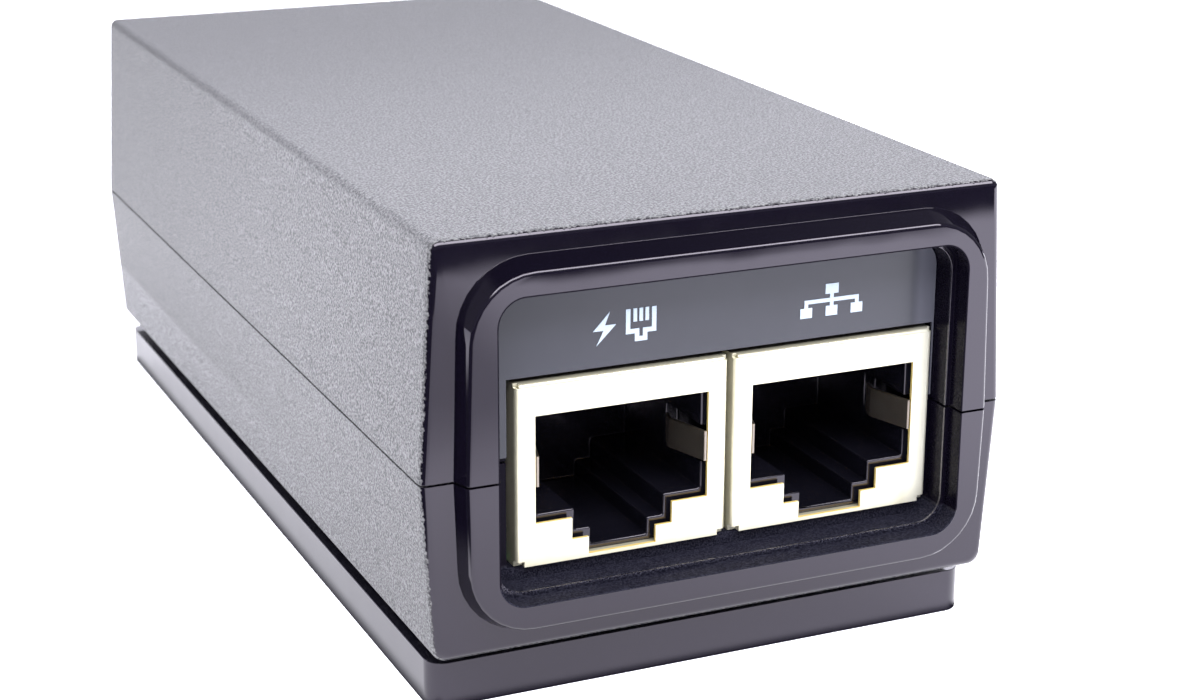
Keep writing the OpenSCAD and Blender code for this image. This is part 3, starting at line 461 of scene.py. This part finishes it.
def dress_supply():
    """The circuit board, what stands on it, the inlet's pins and wires, and the screws."""
    dress(plated_metal("tinned_brass", (0.68, 0.69, 0.7), 0.25, (1.0, 0.2, 1.0)), "inlet_pins",
          "transformer_pins")
    dress(plated_metal("zinc_steel", (0.55, 0.56, 0.58), 0.33, wear=(0.3, 0.3, 0.31)), "case_screws",
          "heatsink_screw")
    aluminium = plated_metal("drawn_aluminium", (0.72, 0.73, 0.75), 0.36, (1.0, 1.0, 0.15),
                             (0.85, 0.85, 0.86))
    dress(aluminium, "output_heatsink", "bulk_capacitor_can", "output_capacitor_cans")
    dress(solder_mask(), "circuit_board")
    dress(moulded_component("insulation_film", (0.62, 0.6, 0.52), 0.45), "insulation_sheet")
    dress(moulded_component("brown_wire", (0.2, 0.07, 0.025), 0.38), "live_wire")
    dress(moulded_component("blue_wire", (0.03, 0.12, 0.42), 0.38), "neutral_wire")
    dress(moulded_component("earth_wire_green", (0.3, 0.5, 0.04), 0.38), "earth_wire")
    dress(moulded_component("black_epoxy", (0.018, 0.018, 0.02), 0.42), "fuse", "bridge_rectifier",
          "switching_controller", "optocoupler", "output_diode", "transformer_bobbin")
    dress(moulded_component("blue_dip", (0.03, 0.12, 0.36), 0.25), "varistor", "y_capacitor")
    dress(moulded_component("grey_box", (0.3, 0.31, 0.33), 0.4), "x_capacitor")
    dress(moulded_component("ferrite", (0.035, 0.035, 0.038), 0.5), "choke_core",
          "transformer_core", "output_inductor")
    dress(moulded_component("yellow_tape", (0.75, 0.48, 0.06), 0.22), "transformer_tape")
    dress(polished_plastic("shrunk_sleeve", (0.02, 0.024, 0.05), 0.22), "bulk_capacitor_sleeve",
          "output_capacitor_sleeves")
    dress(wound_copper("choke_wire", 0.45 * MM), "choke_windings")
    dress(wound_copper("transformer_wire", 0.3 * MM), "transformer_winding")


# ---------------------------------------------------------------- edges

# Faces that meet at more than this angle get a rounded edge; flatter ones than FLAT are merged
SHARP = math.radians(32)
FLAT = math.radians(0.6)
WELD_GAP = 0.002 * MM


def soften(radius, *nodes, segments=3):
    """Rounds a node's sharp edges by a radius in metres, so that they catch the light."""
    for name in nodes:
        node = frame["nodes"][name]
        weld = node.modifiers.new("weld", "WELD")
        weld.merge_threshold = WELD_GAP
        flat = node.modifiers.new("flat", "DECIMATE")
        flat.decimate_type = "DISSOLVE"
        flat.angle_limit = FLAT
        bevel = node.modifiers.new("edges", "BEVEL")
        bevel.width = radius
        bevel.segments = segments
        bevel.limit_method = "ANGLE"
        bevel.angle_limit = SHARP
        bevel.miter_outer = "MITER_ARC"
        normals = node.modifiers.new("normals", "WEIGHTED_NORMAL")
        normals.keep_sharp = False
        normals.weight = 100


def soften_everything():
    soften(0.12 * MM, "upper_shell", "lower_shell")
    soften(0.3 * MM, "wall_bracket", "bracket_latch")
    soften(0.05 * MM, "poe_jack_shield", "lan_jack_shield", segments=2)
    soften(0.18 * MM, "poe_jack_housing", "lan_jack_housing")
    soften(0.2 * MM, "inlet_body")


# ---------------------------------------------------------------- studio

CAMERA_AT = Vector((-68.66 * MM, -END_Y - 131.69 * MM, 70.71 * MM))
CAMERA_AZIMUTH = math.radians(-24.3)
CAMERA_ELEVATION = math.radians(17.89)
CAMERA_ROLL = math.radians(0.26)
CAMERA_LENS = 71.03
CAMERA_STOP = 105.0
FOCUS_AT = (0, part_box("poe_jack_shield")[0].y, 17 * MM)

# An oblong lamp above and in front of the object, which the edges of the frame mirror
KEY_AT = (0.04, -0.36, 0.45)
KEY_AIM = (0.02, -0.1, 0.02)
KEY_WIDTH = 0.76
KEY_DEPTH = 0.3
KEY_RADIANCE = 12.0

# Radiances of the room in reflections: in front of the object, and behind it low and higher up
DIM_FRONT = 0.3
DIM_HORIZON = 0.1
BRIGHT_BACK = 5.7
WHITE_SEEN = 1.4
COOL = (0.955, 0.955, 1.06)

# Glossy surfaces mirror the floor bright up to these lines, and dark beyond them
SHEET_FRONT_Y = -141 * MM
SHEET_BACK_Y = 100 * MM
SHEET_LEFT_X = -42 * MM
SHEET_SOFT = 4 * MM
# Left of this line the floor is mirrored brighter beside and behind the object
SIDE_STRIP_X = -25 * MM
# The floor's radiance: to the camera, as light at its left and right, and factors for reflections
GLOW = 1.25
GLOW_LEFT = 0.72
GLOW_RIGHT = 2.5
GLOW_MIRRORED = 0.9
GLOW_BEHIND = 2.5
GLOW_DISTANT = 0.86
GLOW_NEAR = 0.88
GLOW_FAR_BACK = 1.5
GLOW_FAR_LEFT = 0.52


def camera():
    back = Vector((math.sin(CAMERA_AZIMUTH) * math.cos(CAMERA_ELEVATION),
                   -math.cos(CAMERA_AZIMUTH) * math.cos(CAMERA_ELEVATION),
                   math.sin(CAMERA_ELEVATION)))
    right = Vector((0, 0, 1)).cross(back).normalized()
    up = back.cross(right)
    turn = Matrix((right, up, back)).transposed() @ Matrix.Rotation(CAMERA_ROLL, 3, "Z")
    focus = bpy.data.objects.new("focus", None)
    focus.location = FOCUS_AT
    bpy.context.scene.collection.objects.link(focus)
    data = bpy.data.cameras.new("camera")
    data.lens = CAMERA_LENS
    data.sensor_width = 36.0
    data.clip_start = 0.01
    data.dof.use_dof = True
    data.dof.focus_object = focus
    data.dof.aperture_fstop = CAMERA_STOP
    seen = bpy.data.objects.new("camera", data)
    seen.matrix_world = Matrix.Translation(CAMERA_AT) @ turn.to_4x4()
    bpy.context.scene.collection.objects.link(seen)
    bpy.context.scene.camera = seen


def key_light():
    data = bpy.data.lights.new("key", "AREA")
    data.shape = "RECTANGLE"
    data.size = KEY_WIDTH
    data.size_y = KEY_DEPTH
    data.energy = KEY_RADIANCE * math.pi * KEY_WIDTH * KEY_DEPTH
    light = bpy.data.objects.new("key", data)
    light.location = KEY_AT
    light.rotation_mode = "QUATERNION"
    light.rotation_quaternion = (Vector(KEY_AIM) - Vector(KEY_AT)).to_track_quat("-Z", "Y")
    light.visible_camera = False
    bpy.context.scene.collection.objects.link(light)


def world():
    """White to the camera; in reflections and as light, bright behind the object and dim in front."""
    lit = bpy.data.worlds.new("studio")
    lit.use_nodes = True
    lit.node_tree.nodes.clear()
    sky = Shader(lit.node_tree, "Generated")
    _, y, z = sky.axes()
    rays = sky.add("ShaderNodeLightPath")
    behind = sky.blend(rays.outputs["Is Glossy Ray"], sky.ramp(y, -0.1, 0.4), sky.ramp(y, 0.2, 0.6))
    climb = sky.ramp(z, 0.12, 0.52, DIM_HORIZON / BRIGHT_BACK, 1.0)
    ceiling = sky.ramp(z, 0.6, 0.9, 1.0, 0.0)
    zenith = sky.ramp(z, 0.8, 0.93, 1.0, 0.1)
    room = sky.ramp(sky.product(behind, climb, ceiling), 0.0, 1.0, DIM_FRONT, BRIGHT_BACK)
    background = sky.add("ShaderNodeBackground")
    sky.feed(background.inputs["Color"], COOL)
    seen = sky.blend(rays.outputs["Is Camera Ray"], sky.product(room, zenith), WHITE_SEEN)
    sky.feed(background.inputs["Strength"], seen)
    output = sky.add("ShaderNodeOutputWorld")
    sky.feed(output.inputs[0], background.outputs[0])
    bpy.context.scene.world = lit


def dark_floor(finish, x, y, inboard):
    """1 where glossy surfaces mirror the floor dark, with a painted contact shadow round the object's
    foot.
    """
    in_front = finish.below(y, SHEET_FRONT_Y, SHEET_SOFT)
    left = finish.product(finish.below(x, SHEET_LEFT_X, SHEET_SOFT), finish.below(y, -6 * MM, SHEET_SOFT))
    # Painted contact shadow: reflections see the floor dark close round the object's foot
    beside_x = finish.ramp(finish.maths("ABSOLUTE", x), cad_high.x - 1.2 * MM, cad_high.x, 1.0, 0.0)
    beside_y = finish.ramp(finish.maths("ABSOLUTE", y), END_Y - 1.8 * MM, END_Y - 0.2 * MM, 1.0, 0.0)
    contact_shadow = finish.product(beside_x, beside_y)
    at_back = finish.product(finish.above(y, SHEET_BACK_Y, SHEET_SOFT), inboard)
    patch = finish.product(finish.ramp(x, 8 * MM, 24 * MM, 0.5, 0.0),
                           finish.ramp(y, -105 * MM, -80 * MM, 1.0, 0.0))
    return finish.largest(in_front, left, contact_shadow, at_back, patch)


def mirrored_glow(finish, x, y, inboard):
    """How much of the floor's light glossy surfaces mirror."""
    left_strip = finish.ramp(y, -25 * MM, 0.0, GLOW_MIRRORED, GLOW_BEHIND)
    strips = finish.blend(inboard, left_strip, GLOW_MIRRORED)
    distant = finish.ramp(y, SHEET_FRONT_Y, SHEET_FRONT_Y / 2, GLOW_DISTANT, 1.0)
    far_back = finish.ramp(y, END_Y, 2 * END_Y, 1.0, GLOW_FAR_BACK)
    far_left = finish.ramp(x, -72 * MM, -46 * MM, GLOW_FAR_LEFT, 1.0)
    near = finish.ramp(y, -85 * MM, -60 * MM, 1.0, GLOW_NEAR)
    return finish.product(strips, distant, far_back, far_left, near)


def floor():
    """A pale glowing sheet. Reflections show it dark beside the object, as a painted contact shadow, and
    a little way in front.
    """
    half = 1.6
    corners = [(-half, -half, 0), (half, -half, 0), (half, half, 0), (-half, half, 0)]
    data = bpy.data.meshes.new("floor")
    data.from_pydata(corners, [], [(0, 1, 2, 3)])
    sheet = bpy.data.objects.new("floor", data)
    sheet.location.z = -0.02 * MM
    bpy.context.scene.collection.objects.link(sheet)

    finish = Finish("floor", (0.86, 0.86, 0.86), 0.9)
    x, y, _ = finish.axes()
    rays = finish.add("ShaderNodeLightPath")
    inboard = finish.above(x, SIDE_STRIP_X, SHEET_SOFT)
    dark = finish.product(dark_floor(finish, x, y, inboard), rays.outputs["Is Glossy Ray"])
    paper = finish.mix(finish.noise(4 * MM), (0.85, 0.85, 0.85), (0.87, 0.87, 0.87))
    finish.set("Specular IOR Level", 0.0)
    # Where reflections see the floor dark, it is painted black and its glow is switched off; beside the
    # object this is painted contact shadow
    finish.set("Base Color", finish.mix(finish.product(dark, 0.97), paper, BLACK))
    slope = finish.ramp(x, -35 * MM, 75 * MM, GLOW_LEFT, GLOW_RIGHT)
    mirrored = mirrored_glow(finish, x, y, inboard)
    unseen = finish.product(slope, finish.blend(rays.outputs["Is Glossy Ray"], 1.0, mirrored))
    glow = finish.blend(rays.outputs["Is Camera Ray"], unseen, GLOW)
    finish.set("Emission Color", COOL)
    finish.set("Emission Strength", finish.blend(dark, glow, 0.0))
    sheet.data.materials.append(finish.material)


dress_outside()
dress_jacks()
dress_supply()
soften_everything()
camera()
world()
floor()
key_light()
bpy.context.scene.view_settings.view_transform = "Standard"
